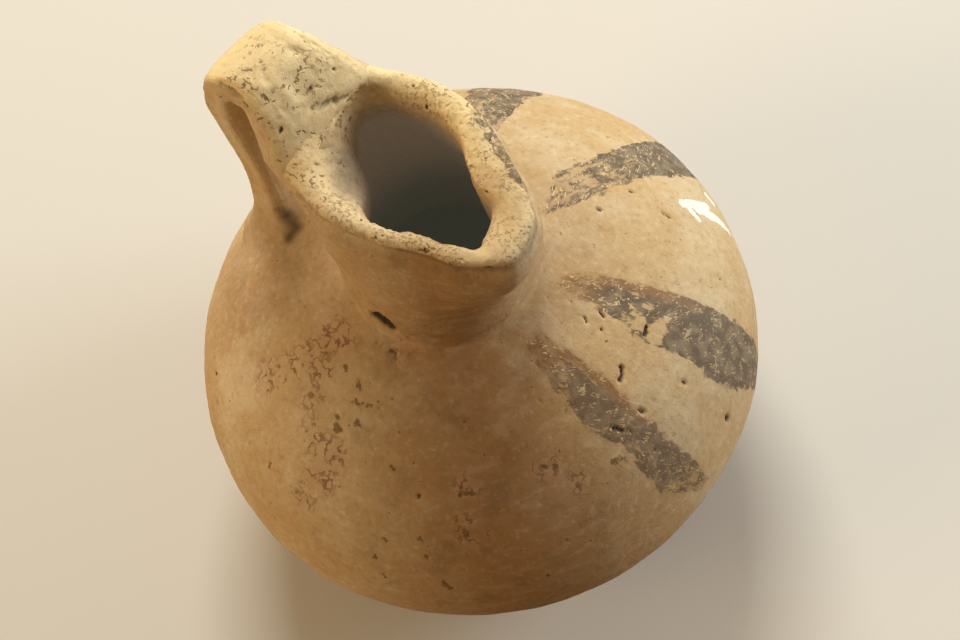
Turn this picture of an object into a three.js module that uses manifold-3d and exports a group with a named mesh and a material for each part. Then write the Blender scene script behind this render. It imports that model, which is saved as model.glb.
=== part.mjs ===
// A squat painted juglet of buff clay, with a pinched mouth and one high strap handle.
// It is built as a potter builds it: two thrown bowls luted at the belly, a neck, a mouth band, a pulled strap
// and the two wads of clay that fix the strap's ends. Millimetres, +Z up, the origin at the centre of the
// resting face, the spout towards +X and the handle towards -X.
import * as THREE from "three";
import { mergeVertices } from "three/addons/utils/BufferGeometryUtils.js";
import Module from "manifold-3d";

const wasm = await Module();
wasm.setup();

// The two bowls of the body
const bodyRadius = 50;
const bellyHeight = 31;
const baseRadius = 18;
const shoulderRise = 33;
const bodyWall = 5;
const floorThickness = 6;
const bodySegments = 80;
const bowlSteps = 11;
const shoulderSteps = 12;

// The neck, from its seat on the shoulder to the foot of the mouth band
const neckRadius = 16.5;
const neckWall = 4.2;
const neckSeatHeight = 61;
const neckTopHeight = 79;
const shoulderBlend = 14;
const neckSteps = 6;
const spigotDepth = 3;
const spigotWall = 1.8;

// The mouth band: its lip at stations round the opening, as degrees from the spout, the outer and inner radius as
// shares of the mouth's radius, and the rise over the lip's height as a share of the rolled lip
const mouthRadius = 15;
const lipHeight = 92.5;
const lipRoll = 2.6;
const lipStations = [
  { turn: -12, outer: 1.507, inner: 1.093, rise: -0.2 },
  { turn: 12, outer: 1.387, inner: 0.747, rise: 0 },
  { turn: 36, outer: 1.053, inner: 0.553, rise: 0 },
  { turn: 66, outer: 0.933, inner: 0.56, rise: 0.2 },
  { turn: 100, outer: 0.987, inner: 0.753, rise: 0.3 },
  { turn: 130, outer: 1.173, inner: 1.013, rise: 0.2 },
  { turn: 155, outer: 1.26, inner: 1.08, rise: 0 },
  { turn: 185, outer: 1.253, inner: 0.747, rise: -0.1 },
  { turn: 215, outer: 1.24, inner: 0.627, rise: 0 },
  { turn: 245, outer: 1.027, inner: 0.64, rise: 0 },
  { turn: 272, outer: 0.873, inner: 0.707, rise: 0 },
  { turn: 303, outer: 0.973, inner: 0.793, rise: -0.2 },
  { turn: 330, outer: 1.28, inner: 1.047, rise: -0.2 },
];
const lipFullness = 0.7;
const roundNeckRise = 7;
const mouthSteps = 5;
const lipSteps = 6;

// The strap handle's middle line in the XZ plane: across from 0 at the rim to 1 at the leg, and up from 0 at the
// lip's height to 1 at the crest, or down to -1 at the foot, which is sunk into the shoulder
const strapLine = [
  { across: 0, up: -0.104 },
  { across: 0.24, up: 0.36 },
  { across: 0.52, up: 1 },
  { across: 0.8, up: 1 },
  { across: 1, up: -0.008 },
  { across: 1, up: -0.273 },
  { across: 0.96, up: -0.558 },
  { across: 0.975, up: -1 },
];
const strapBite = 2.3;
const strapCrestRise = 5.8;
const strapLegInset = 16.4;
const strapFootDepth = 1.5;

// The strap's section, and the turn of its flat face from the XZ plane's square
const strapWidth = 14;
const strapRimWidth = 23;
const strapFootWidth = 15;
const strapThickness = 6.1;
const strapRimThickness = 8;
const strapRimRun = 0.34;
const strapFootRun = 0.25;
const strapSkew = 8;
const strapSquareness = 0.65;
const strapSteps = 24;
const strapSides = 24;

// The wads pressed in under the strap's ends: each runs down from a thin tip to a broad end
const upperWadReach = 4.6;
const upperWadDrop = 1;
const upperWadHeight = 17.5;
const upperWadLean = 8.5;
const upperWadTipWidth = 12;
const upperWadWidth = 20;
const upperWadTipDepth = 3.5;
const upperWadDepth = 7;
const lowerWadRise = 8;
const lowerWadHeight = 13.5;
const lowerWadSetIn = 1;
const lowerWadTipWidth = 16.5;
const lowerWadWidth = 22;
const lowerWadTipDepth = 7.8;
const lowerWadDepth = 13;
const wadSteps = 8;
const jointGap = 0.3;

const buffClay = { color: 0xc9a574, roughness: 0.85, metalness: 0 };
const paleClay = { color: 0xe3c796, roughness: 0.85, metalness: 0 };
const warmClay = { color: 0xb08a58, roughness: 0.88, metalness: 0 };

// A smooth maximum of two lengths, which rounds their meeting over the given width.
function blendMax(a, b, width) {
  const nearness = Math.max(width - Math.abs(a - b), 0) / width;
  return Math.max(a, b) + (nearness * nearness * width) / 4;
}

function smoothStep(t) {
  const share = THREE.MathUtils.clamp(t, 0, 1);
  return share * share * (3 - 2 * share);
}

// The radius of a half-oval of the given radius and rise, at a height above its widest ring
function ovalRadius(radius, rise, height) {
  const share = height / rise;
  return radius * Math.sqrt(Math.max(1 - share * share, 0));
}

const bowlDrop = bellyHeight / Math.sqrt(1 - (baseRadius / bodyRadius) ** 2);

function bowlOuter(height) {
  return ovalRadius(bodyRadius, bowlDrop, bellyHeight - height);
}

function shoulderOuter(height) {
  const oval = ovalRadius(bodyRadius, shoulderRise, height - bellyHeight);
  return blendMax(oval, neckRadius, shoulderBlend);
}

function shoulderInner(height) {
  const oval = ovalRadius(bodyRadius - bodyWall, shoulderRise - bodyWall, height - bellyHeight);
  return blendMax(oval, neckRadius - neckWall, shoulderBlend);
}

// A share of the lip at any turn, by a closed cubic through its stations
function lipShare(key, turn) {
  const count = lipStations.length;
  const start = lipStations[0].turn;
  const angle = start + ((((turn - start) % 360) + 360) % 360);
  const turnOf = (i) => lipStations[((i % count) + count) % count].turn + 360 * Math.floor(i / count);
  const valueOf = (i) => lipStations[((i % count) + count) % count][key];
  let left = 0;
  while (turnOf(left + 1) <= angle) left += 1;
  const slope = (i) => (valueOf(i + 1) - valueOf(i - 1)) / (turnOf(i + 1) - turnOf(i - 1));
  const span = turnOf(left + 1) - turnOf(left);
  const t = (angle - turnOf(left)) / span;
  const h00 = (1 + 2 * t) * (1 - t) * (1 - t);
  const h10 = t * (1 - t) * (1 - t);
  const h01 = t * t * (3 - 2 * t);
  const h11 = t * t * (t - 1);
  return (
    h00 * valueOf(left) +
    h10 * span * slope(left) +
    h01 * valueOf(left + 1) +
    h11 * span * slope(left + 1)
  );
}

function lipOuter(turn) {
  return mouthRadius * lipShare("outer", turn);
}

function lipInner(turn) {
  return mouthRadius * lipShare("inner", turn);
}

function lipTop(turn) {
  return lipHeight + lipRoll * lipShare("rise", turn);
}

// The neck's outer and inner radius at a height and turn: round at its seat, and the lip's outline at the lip
const morphStart = neckSeatHeight + roundNeckRise;

function morphShare(height, turn) {
  return smoothStep((height - morphStart) / (lipTop(turn) - lipRoll - morphStart));
}

function throatOuter(height, turn) {
  const round = shoulderOuter(height);
  return round + (lipOuter(turn) - round) * morphShare(height, turn);
}

function throatInner(height, turn) {
  const round = shoulderInner(height);
  return round + (lipInner(turn) - round) * morphShare(height, turn);
}

function range(from, to, steps) {
  return Array.from({ length: steps + 1 }, (_, i) => from + ((to - from) * i) / steps);
}

// Joins rings of points of one count into a closed solid. Capped, the first and last ring are filled from
// their middles; otherwise the last ring is joined to the first.
function loft(rings, capped) {
  const count = rings[0].length;
  const points = rings.flat();
  const faces = [];
  const bands = capped ? rings.length - 1 : rings.length;
  for (let i = 0; i < bands; i += 1) {
    for (let k = 0; k < count; k += 1) {
      const a = i * count + k;
      const b = i * count + ((k + 1) % count);
      const c = ((i + 1) % rings.length) * count + ((k + 1) % count);
      const d = ((i + 1) % rings.length) * count + k;
      faces.push(a, b, c, a, c, d);
    }
  }
  if (capped) {
    [0, rings.length - 1].forEach((ring, end) => {
      const middle = new THREE.Vector3();
      rings[ring].forEach((p) => middle.addScaledVector(p, 1 / count));
      const hub = points.push(middle) - 1;
      for (let k = 0; k < count; k += 1) {
        const a = ring * count + k;
        const b = ring * count + ((k + 1) % count);
        faces.push(...(end ? [hub, a, b] : [hub, b, a]));
      }
    });
  }
  const geometry = new THREE.BufferGeometry().setFromPoints(points);
  geometry.setIndex(faces);
  geometry.computeVertexNormals();
  return geometry;
}

// Turns a profile of [radius, height] points, which may change with the turn, round the vertical axis.
function turned(profileAt) {
  const rings = Array.from({ length: bodySegments }, (_, i) => {
    const turn = (360 * i) / bodySegments;
    const angle = THREE.MathUtils.degToRad(turn);
    return profileAt(turn).map(
      ([r, z]) => new THREE.Vector3(r * Math.cos(angle), r * Math.sin(angle), z),
    );
  });
  return loft(rings.reverse(), false);
}

function solidOf(geometry) {
  const bare = geometry.index ? geometry.toNonIndexed() : geometry.clone();
  bare.deleteAttribute("normal");
  bare.deleteAttribute("uv");
  const merged = mergeVertices(bare, 1e-4);
  return new wasm.Manifold(
    new wasm.Mesh({
      numProp: 3,
      vertProperties: new Float32Array(merged.attributes.position.array),
      triVerts: new Uint32Array(merged.index.array),
    }),
  );
}

function geometryOf(solid) {
  const made = solid.getMesh();
  const geometry = new THREE.BufferGeometry();
  geometry.setAttribute("position", new THREE.BufferAttribute(made.vertProperties, 3));
  geometry.setIndex(new THREE.BufferAttribute(made.triVerts, 1));
  geometry.computeVertexNormals();
  return geometry;
}

function biggest(solid) {
  return solid.decompose().sort((a, b) => b.volume() - a.volume())[0];
}

// The lower bowl: a flat base, the wall up to the belly joint, and the floor inside
function lowerBody() {
  const outside = range(0, bellyHeight, bowlSteps).map((z) => [bowlOuter(z), z]);
  const innerRadius = bodyRadius - bodyWall;
  const innerDrop = bellyHeight - floorThickness;
  const inside = range(0, 90, bowlSteps).map((degrees) => {
    const angle = THREE.MathUtils.degToRad(degrees);
    return [innerRadius * Math.cos(angle), bellyHeight - innerDrop * Math.sin(angle)];
  });
  inside[inside.length - 1][0] = 0;
  const profile = [[0, 0], ...outside, ...inside].map(([r, z]) => new THREE.Vector2(r, z));
  return new THREE.LatheGeometry(profile, bodySegments).rotateX(Math.PI / 2);
}

// The upper bowl: the shoulder, from the belly joint to the neck's seat, with the hole that takes the spigot
function upperBody() {
  const socket = shoulderInner(neckSeatHeight) + spigotWall + jointGap;
  const socketFloor = neckSeatHeight - spigotDepth - jointGap;
  const outside = range(0, 1, shoulderSteps).map((t) => {
    const z = bellyHeight + (neckSeatHeight - bellyHeight) * Math.sin((t * Math.PI) / 2);
    return [shoulderOuter(z), z];
  });
  const inside = range(0, 1, shoulderSteps).map((t) => {
    const z = bellyHeight + (socketFloor - bellyHeight) * Math.cos((t * Math.PI) / 2);
    return [shoulderInner(z), z];
  });
  return turned(() => [...outside, [socket, neckSeatHeight], [socket, socketFloor], ...inside]);
}

// The neck: round on its seat with a spigot below it, and turning into the lip's outline at its top
function neck() {
  const spigotOuter = shoulderInner(neckSeatHeight) + spigotWall;
  const spigotFoot = neckSeatHeight - spigotDepth;
  const heights = range(neckSeatHeight, neckTopHeight, neckSteps);
  return turned((turn) => [
    [shoulderInner(spigotFoot), spigotFoot],
    [spigotOuter, spigotFoot],
    [spigotOuter, neckSeatHeight],
    ...heights.map((z) => [throatOuter(z, turn), z]),
    ...heights.map((z) => [throatInner(z, turn), z]).reverse(),
  ]);
}

// One side of the mouth band: up the outside, over the rolled lip and down the inside
function mouthProfile(turn, growth = 0) {
  const outer = lipOuter(turn);
  const inner = lipInner(turn);
  const shoulder = lipTop(turn) - lipRoll;
  const heights = range(neckTopHeight, shoulder, mouthSteps);
  const middle = (outer + inner) / 2;
  const half = (outer - inner) / 2 + growth;
  const roll = range(0, 1, lipSteps)
    .slice(1, -1)
    .map((t) => [
      middle + half * Math.cos(t * Math.PI),
      shoulder + (lipRoll + growth) * Math.sin(t * Math.PI) ** lipFullness,
    ]);
  const foot = neckTopHeight - growth;
  const lift = (z) => (z === neckTopHeight ? foot : z);
  return [
    ...heights.map((z) => [throatOuter(z, turn) + growth, lift(z)]),
    ...roll,
    ...heights.map((z) => [throatInner(z, turn) - growth, lift(z)]).reverse(),
  ];
}

// The strap's middle line: it bites into the band at the handle's side, and its leg stands in from the widest ring
const handleTurn = 180;
const bandEdge = lipOuter(handleTurn);
const strapStart = bandEdge - strapBite;
const strapReach = bodyRadius - strapLegInset;
const footSkin = bellyHeight + ovalRadius(shoulderRise, bodyRadius, strapReach);

function strapPoint({ across, up }) {
  const step = up > 0 ? strapCrestRise : lipHeight - (footSkin - strapFootDepth);
  const x = -(strapStart + (strapReach - strapStart) * across);
  return new THREE.Vector3(x, 0, lipHeight + step * up);
}

const strapCurve = new THREE.CatmullRomCurve3(strapLine.map(strapPoint), false, "centripetal");

// The strap's section at a share of the way along its line
function strapHalfWidth(share) {
  const toRim = smoothStep(1 - share / strapRimRun);
  const toFoot = smoothStep(1 - (1 - share) / strapFootRun);
  return (
    (strapWidth + (strapRimWidth - strapWidth) * toRim + (strapFootWidth - strapWidth) * toFoot) / 2
  );
}

function strapHalfThickness(share) {
  const toRim = smoothStep(1 - share / strapRimRun);
  return (strapThickness + (strapRimThickness - strapThickness) * toRim) / 2;
}

// A rounded section across a direction that lies in the XZ plane
function sectionRing(middle, along, halfWidth, halfThickness) {
  const skew = THREE.MathUtils.degToRad(strapSkew);
  const across = new THREE.Vector3(Math.sin(skew), Math.cos(skew), 0);
  const out = new THREE.Vector3().crossVectors(along, across).normalize();
  const bulge = (v) => Math.sign(v) * Math.abs(v) ** strapSquareness;
  return Array.from({ length: strapSides }, (_, k) => {
    const angle = (2 * Math.PI * k) / strapSides;
    return middle
      .clone()
      .addScaledVector(across, halfWidth * bulge(Math.cos(angle)))
      .addScaledVector(out, halfThickness * bulge(Math.sin(angle)));
  });
}

// The whole strap, grown all round by the given amount
function strapSolid(growth) {
  const rings = range(0, 1, strapSteps).map((share) =>
    sectionRing(
      strapCurve.getPointAt(share),
      strapCurve.getTangentAt(share),
      strapHalfWidth(share) + growth,
      strapHalfThickness(share) + growth,
    ),
  );
  return solidOf(loft(rings, true));
}

// The wads' middle lines and sections: the upper one leans in under the rim, the lower one stands round the foot
const upperWad = {
  start: new THREE.Vector3(-(bandEdge + upperWadReach), 0, lipHeight - upperWadDrop),
  run: new THREE.Vector3(upperWadLean, 0, -upperWadHeight),
  widths: [upperWadTipWidth, upperWadWidth],
  depths: [upperWadTipDepth, upperWadDepth],
};
const lowerWad = {
  start: new THREE.Vector3(-(strapReach - lowerWadSetIn), 0, footSkin + lowerWadRise),
  run: new THREE.Vector3(0, 0, -lowerWadHeight),
  widths: [lowerWadTipWidth, lowerWadWidth],
  depths: [lowerWadTipDepth, lowerWadDepth],
};

// A wad as a straight run that spreads faster and faster as it nears its broad end
function wadSolid({ start, run, widths, depths }) {
  const along = run.clone().normalize();
  const rings = range(0, 1, wadSteps).map((t) =>
    sectionRing(
      start.clone().addScaledVector(run, t),
      along,
      (widths[0] + (widths[1] - widths[0]) * t * t) / 2,
      (depths[0] + (depths[1] - depths[0]) * t * t) / 2,
    ),
  );
  return solidOf(loft(rings, true));
}

// The clay inside a surface of revolution between two heights, up to its skin
function core(radiusAt, from, to, steps) {
  const rings = range(from, to, steps).map((z) =>
    Array.from({ length: bodySegments }, (_, k) => {
      const turn = (360 * k) / bodySegments;
      const angle = THREE.MathUtils.degToRad(turn);
      const r = radiusAt(z, turn);
      return new THREE.Vector3(r * Math.cos(angle), r * Math.sin(angle), z);
    }),
  );
  return solidOf(loft(rings, true));
}

// The space that the vessel takes, with the joint's gap round it, and the space over its opening
function vesselSpace() {
  const mouth = solidOf(turned((turn) => mouthProfile(turn, jointGap)));
  const throat = core(
    (z, turn) => throatOuter(z, turn) + jointGap,
    neckSeatHeight,
    neckTopHeight + jointGap,
    neckSteps,
  );
  const shoulder = core(
    (z) => shoulderOuter(z) + jointGap,
    bellyHeight,
    neckSeatHeight + jointGap,
    shoulderSteps,
  );
  const opening = core(
    (z, turn) => lipInner(turn) + lipRoll / 2,
    neckTopHeight,
    neckTopHeight + strapRimWidth,
    1,
  );
  return mouth.add(throat).add(shoulder).add(opening);
}

const vessel = vesselSpace();
const aroundStrap = strapSolid(jointGap);

function strap() {
  return geometryOf(biggest(strapSolid(0).subtract(vessel)));
}

function wad(sizes) {
  return geometryOf(biggest(wadSolid(sizes).subtract(aroundStrap).subtract(vessel)));
}

function piece(name, geometry, finish) {
  const mesh = new THREE.Mesh(geometry, new THREE.MeshStandardMaterial(finish));
  mesh.name = name;
  return mesh;
}

const juglet = new THREE.Group();
juglet.add(
  piece("lower_body", lowerBody(), buffClay),
  piece("upper_body", upperBody(), buffClay),
  piece("neck", neck(), warmClay),
  piece("mouth_band", turned((turn) => mouthProfile(turn)), paleClay),
  piece("strap_handle", strap(), paleClay),
  piece("upper_handle_wad", wad(upperWad), paleClay),
  piece("lower_handle_wad", wad(lowerWad), warmClay),
);

export default juglet;
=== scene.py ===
import itertools
import math
import bpy
import numpy as np
from mathutils import Matrix, Vector


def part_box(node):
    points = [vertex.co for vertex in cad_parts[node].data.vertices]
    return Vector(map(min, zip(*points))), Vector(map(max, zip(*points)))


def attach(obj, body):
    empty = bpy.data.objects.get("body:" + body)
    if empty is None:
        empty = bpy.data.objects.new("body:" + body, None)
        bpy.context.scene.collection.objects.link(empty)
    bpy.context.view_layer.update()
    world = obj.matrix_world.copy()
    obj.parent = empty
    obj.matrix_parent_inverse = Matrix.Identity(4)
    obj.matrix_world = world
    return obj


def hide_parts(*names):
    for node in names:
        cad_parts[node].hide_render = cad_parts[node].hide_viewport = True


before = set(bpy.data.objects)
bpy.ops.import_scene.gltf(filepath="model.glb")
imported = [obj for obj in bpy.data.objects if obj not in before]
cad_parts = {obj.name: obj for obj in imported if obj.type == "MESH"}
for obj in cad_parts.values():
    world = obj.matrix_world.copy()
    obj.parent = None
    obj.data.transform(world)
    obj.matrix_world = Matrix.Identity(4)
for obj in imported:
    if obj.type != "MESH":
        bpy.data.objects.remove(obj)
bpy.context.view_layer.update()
scene = bpy.context.scene

# A squat painted juglet of buff clay. Shapes are worked out in millimetres and scaled when a mesh is made.
# Turns are degrees round the upright axis: 0 is the spout, 180 the handle.
mm = 0.001


def boxInMm(node):
    low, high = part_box(node)
    return np.array(low) / mm, np.array(high) / mm


lowerBox = boxInMm("lower_body")
upperBox = boxInMm("upper_body")
bandBox = boxInMm("mouth_band")

body = {
    "radius": upperBox[1][0],
    "belly": lowerBox[1][2],
    "neckSeat": upperBox[1][2],
    "neckTop": bandBox[0][2],
    "foot": 18,
    "rise": 33,
    "wall": 5,
    "floor": 6,
    "neck": 16.5,
    "neckWall": 4.2,
    "blend": 14,
    "roundNeck": 7,
    "columns": 720,
}

# The mouth at stations: turn, outer radius, inner radius, top, and how far down its inner side slopes
mouth = {
    "stations": [
        (-12, 22.3, 15.0, 92.0, 1.2),
        (4, 21.3, 13.2, 92.2, 1.4),
        (16, 19.2, 9.8, 92.4, 0.8),
        (38, 15.4, 8.0, 92.6, 0),
        (66, 14.0, 8.2, 93.0, 0.3),
        (95, 14.6, 9.3, 93.2, 1.2),
        (115, 16.2, 10.8, 93.1, 1.6),
        (134, 17.8, 12.8, 92.9, 1.6),
        (151, 18.8, 15.6, 92.6, 2.4),
        (166, 18.9, 15.8, 92.4, 3.6),
        (178, 18.9, 13.4, 92.3, 6.0),
        (192, 18.8, 10.2, 92.3, 6.8),
        (215, 18.4, 8.8, 92.4, 5.8),
        (240, 15.8, 9.2, 92.5, 2.4),
        (265, 13.6, 10.1, 92.4, 0.2),
        (290, 13.5, 9.7, 92.2, 0),
        (312, 14.9, 10.6, 92.0, 0),
        (330, 18.8, 13.8, 92.0, 0),
        (340, 21.0, 16.2, 92.0, 0.4),
    ],
    "roll": 2.6,
    "fullness": 0.7,
    "topWave": 0.25,
    "edgeWave": 0.3,
    "thinTurn": 285,  # the middle of the thin side, whose inner edge is wavy
    "thinHalf": 70,
    "bandProud": 0.6,
    "footWave": 0.5,
    "ridges": 0.1,
    "grooveDrop": 0.3,
    "grooveWave": 0.6,
    "grooveWidth": 1.0,
    "grooveDepth": 1.1,
    "grooveAtSpout": 0.3,  # the share of its depth that is left there
    "underStrap": 38,  # degrees on each side of the handle without band or groove
}

# The strap at stations: x, z, how far it stands to the left, half its width, clay above the line, clay below
# it, and its section's roundness (1 is an oval, 0 a rectangle)
strap = {
    "stations": [
        (-16.4, 78.0, 0.0, 7.6, 1.4, 2.6, 0.62),
        (-16.8, 84.5, 0.0, 9.2, 1.9, 4.6, 0.62),
        (-17.6, 90.3, 0.2, 10.6, 2.7, 7.2, 0.62),
        (-20.9, 94.6, 0.9, 9.2, 3.1, 7.0, 0.6),
        (-25.4, 98.3, 0.9, 7.5, 3.2, 4.8, 0.55),
        (-30.2, 98.4, 0.2, 7.1, 3.2, 3.4, 0.52),
        (-33.4, 92.2, 0.0, 7.0, 3.3, 3.6, 0.45),
        (-33.4, 82.0, 0.0, 6.8, 3.3, 3.6, 0.42),
        (-32.8, 71.0, 0.0, 7.0, 3.3, 3.6, 0.42),
        (-33.1, 60.0, 0.0, 8.4, 4.4, 4.4, 0.5),
        (-34.2, 50.0, 0.0, 11.0, 7.0, 6.0, 0.6),
    ],
    "skew": 8,
    "rows": 230,
    "columns": 150,
    "sideGroove": 0.3,
    "sunk": 1.6,  # how deep its clay lies in the wall beside the throat
}

# How far the clay is smoothed over where the strap meets the wall, by height; the part of the wall that this
# touches; and the row of the roll from which it fades out, over how many rows
smoothing = {
    "heights": [58, 68, 78, 88, 94],
    "reach": [4.2, 5.0, 6.5, 6.0, 4.2],
    "behind": -7,
    "overBelly": 8,
    "aside": 24,
    "fadeRow": 14,
    "fadeRows": 12,
}


def ease(t):
    # 3t^2 - 2t^3 between 0 and 1, flat beyond
    share = np.clip(t, 0, 1)
    return share * share * (3 - 2 * share)


def softMax(a, b, width):
    # The larger of two lengths, with their meeting rounded over the width
    near = np.maximum(width - np.abs(a - b), 0) / width
    return np.maximum(a, b) + near * near * width / 4


def oval(radius, rise, height):
    # The radius at a height from the middle: radius * sqrt(1 - (height / rise)^2)
    return radius * np.sqrt(np.maximum(1 - (height / rise) ** 2, 0))


def clayNoise(points, size, seed):
    # Gradient noise: each corner of a lattice of cubes has a random slope, and the eight slopes round a
    # point are blended by a fifth-degree ease, for values of about -1 to 1
    draw = np.random.default_rng(seed)
    order = draw.permutation(256)
    slopes = draw.normal(size=(256, 3))
    slopes /= np.linalg.norm(slopes, axis=1, keepdims=True)
    scaled = points / size
    cell = np.floor(scaled)
    inside = scaled - cell
    cell = cell.astype(int)
    blend = inside**3 * (inside * (inside * 6 - 15) + 10)
    total = np.zeros(points.shape[:-1])
    for corner in itertools.product((0, 1), repeat=3):
        at = (cell + corner) & 255
        pick = order[(order[(order[at[..., 0]] + at[..., 1]) & 255] + at[..., 2]) & 255]
        weight = np.prod(np.where(corner, blend, 1 - blend), axis=-1)
        total += weight * np.sum(slopes[pick] * (inside - corner), axis=-1)
    return 1.7 * total


def lipValue(column, turn):
    # A closed cubic through the mouth's stations, whose slopes come from the two neighbours
    table = np.array(mouth["stations"])
    turns = np.concatenate([table[-2:, 0] - 360, table[:, 0], table[:3, 0] + 360])
    values = np.concatenate([table[-2:, column], table[:, column], table[:3, column]])
    slopes = (values[2:] - values[:-2]) / (turns[2:] - turns[:-2])
    angle = turns[2] + np.mod(turn - turns[2], 360)
    left = np.searchsorted(turns, angle, side="right") - 1
    span = turns[left + 1] - turns[left]
    t = (angle - turns[left]) / span
    return (
        (1 + 2 * t) * (1 - t) ** 2 * values[left]
        + t * (1 - t) ** 2 * span * slopes[left - 1]
        + t * t * (3 - 2 * t) * values[left + 1]
        + t * t * (t - 1) * span * slopes[left]
    )


def lipOuter(turn):
    return lipValue(1, turn)


def onCircle(turn, size):
    # Points on a circle, where noise can be read so that it closes on itself
    angle = np.radians(turn)
    return np.stack([size * np.cos(angle), size * np.sin(angle), np.zeros_like(angle)], axis=-1)


def lipInner(turn):
    # The stations' radius, plus two waves of noise on the thin side
    near = ease((np.abs(np.mod(turn, 360) - mouth["thinTurn"]) - mouth["thinHalf"]) / -20)
    wave = clayNoise(onCircle(turn, 14), 2.4, 11) + 0.6 * clayNoise(onCircle(turn, 14), 0.9, 12)
    return lipValue(2, turn) + mouth["edgeWave"] * near * wave


def lipTop(turn):
    # The stations' height plus a slow wave
    return lipValue(3, turn) + mouth["topWave"] * clayNoise(onCircle(turn, 16), 7, 13)


def lipSlope(turn):
    return np.maximum(lipValue(4, turn), 0)


def lipFoot(turn):
    return lipTop(turn) - mouth["roll"]


def shoulderOut(z):
    # The body's oval, running into the neck's cylinder
    return softMax(oval(body["radius"], body["rise"], z - body["belly"]), body["neck"], body["blend"])


def shoulderIn(z):
    # The same, less the wall's thickness
    inner = oval(body["radius"] - body["wall"], body["rise"] - body["wall"], z - body["belly"])
    return softMax(inner, body["neck"] - body["neckWall"], body["blend"])


def mouthShare(z, turn, lower):
    # How far the round neck has gone over to the mouth's shape, eased up to the roll or lower by some mm
    start = body["neckSeat"] + body["roundNeck"]
    return ease((z - start) / (lipFoot(turn) - lower - start))


def bandRelief(z, turn):
    # The mouth band stands a little proud of the neck, and a wavy groove runs under the rolled lip
    away = ease((np.abs(np.mod(turn, 360) - 180) - mouth["underStrap"]) / 14)
    wave = clayNoise(onCircle(turn, 16), 5, 21)
    foot = body["neckTop"] + mouth["footWave"] * wave - 0.6
    proud = mouth["bandProud"] * ease((z - foot) / 1.1)
    proud = proud * ease((lipFoot(turn) + 1 - z) / 3)
    drop = mouth["grooveDrop"] + mouth["grooveWave"] * wave
    groove = mouth["grooveDepth"] * np.exp(-(((z - lipFoot(turn) + drop) / mouth["grooveWidth"]) ** 2))
    angle = np.radians(turn) + 0 * z
    rings = np.stack([z + 0 * angle, np.cos(angle), np.sin(angle)], axis=-1)
    spout = ease((np.abs(np.mod(turn + 180, 360) - 180) - 6) / 22)
    groove = groove * (mouth["grooveAtSpout"] + (1 - mouth["grooveAtSpout"]) * spout)
    return away * (proud + mouth["ridges"] * clayNoise(rings, 1.5, 22) - groove)


def wallOut(z, turn):
    # The round radius, going over to the lip's, plus the band's relief
    plain = shoulderOut(z)
    return plain + (lipOuter(turn) - plain) * mouthShare(z, turn, 0) + bandRelief(z, turn)


def wallIn(z, turn):
    plain = shoulderIn(z)
    return plain + (lipInner(turn) - plain) * mouthShare(z, turn, lipSlope(turn))


# The wall's outline in the upright half-plane at a turn, as runs that take a share t from 0 to 1 and give
# radius and height: the base is a flat disc, the bowls are ovals by angle, and the others go by height
bowlDrop = body["belly"] / math.sqrt(1 - (body["foot"] / body["radius"]) ** 2)
bowlStart = math.asin(body["belly"] / bowlDrop)
shoulderEnd = math.asin((body["neckSeat"] - body["belly"]) / body["rise"])


def baseRun(t, turn):
    return body["foot"] * t + 0 * turn, 0 * t + 0 * turn


def bowlRun(t, turn):
    angle = (1 - t) * bowlStart + 0 * turn
    return body["radius"] * np.cos(angle), body["belly"] - bowlDrop * np.sin(angle)


def shoulderRun(t, turn):
    z = body["belly"] + body["rise"] * np.sin(t * shoulderEnd) + 0 * turn
    return shoulderOut(z), z


def neckRun(t, turn):
    z = body["neckSeat"] + (body["neckTop"] - body["neckSeat"]) * t + 0 * turn
    return wallOut(z, turn), z


def bandRun(t, turn):
    z = body["neckTop"] + (lipFoot(turn) - body["neckTop"]) * t
    return wallOut(z, turn), z


def rollRun(t, turn):
    # Over the lip: the middle radius plus half the lip times cos(pi t), raised by roll * sin(pi t)^fullness
    # and let down towards the inside by the slope
    middle = (lipOuter(turn) + lipInner(turn)) / 2
    half = (lipOuter(turn) - lipInner(turn)) / 2
    rise = mouth["roll"] * np.sin(np.pi * t) ** mouth["fullness"] - lipSlope(turn) * ease((t - 0.3) / 0.7)
    start = bandRelief(lipFoot(turn), turn) * (1 - ease(t / 0.2))
    return middle + half * np.cos(np.pi * t) + start, lipFoot(turn) + rise


def bandInsideRun(t, turn):
    start = lipFoot(turn) - lipSlope(turn)
    z = start + (body["neckTop"] - start) * t
    return wallIn(z, turn), z


def neckInsideRun(t, turn):
    z = body["neckTop"] + (body["neckSeat"] - body["neckTop"]) * t + 0 * turn
    return wallIn(z, turn), z


def shoulderInsideRun(t, turn):
    z = body["belly"] + (body["neckSeat"] - body["belly"]) * np.cos(t * np.pi / 2) + 0 * turn
    return shoulderIn(z), z


def bowlInsideRun(t, turn):
    angle = t * np.pi / 2 + 0 * turn
    drop = body["belly"] - body["floor"]
    return (body["radius"] - body["wall"]) * np.cos(angle), body["belly"] - drop * np.sin(angle)


def outline(turn, counts):
    # Rows of (radius, height) along the given runs, each row holding every turn
    radii, heights = [], []
    for run, count in counts:
        t = (np.arange(count) / count)[:, None]
        r, z = run(t, turn[None, :])
        radii.append(r)
        heights.append(z)
    return np.concatenate(radii), np.concatenate(heights)


def gridNormals(grid, closed):
    # Across each row and up each column, crossed; the columns close on themselves
    alongRow = (np.roll(grid, -1, axis=1) - np.roll(grid, 1, axis=1)) / 2
    alongColumn = np.gradient(grid, axis=0)
    if closed:
        alongColumn = (np.roll(grid, -1, axis=0) - np.roll(grid, 1, axis=0)) / 2
    normals = np.cross(alongRow, alongColumn)
    return normals / np.maximum(np.linalg.norm(normals, axis=-1, keepdims=True), 1e-12)


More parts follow.
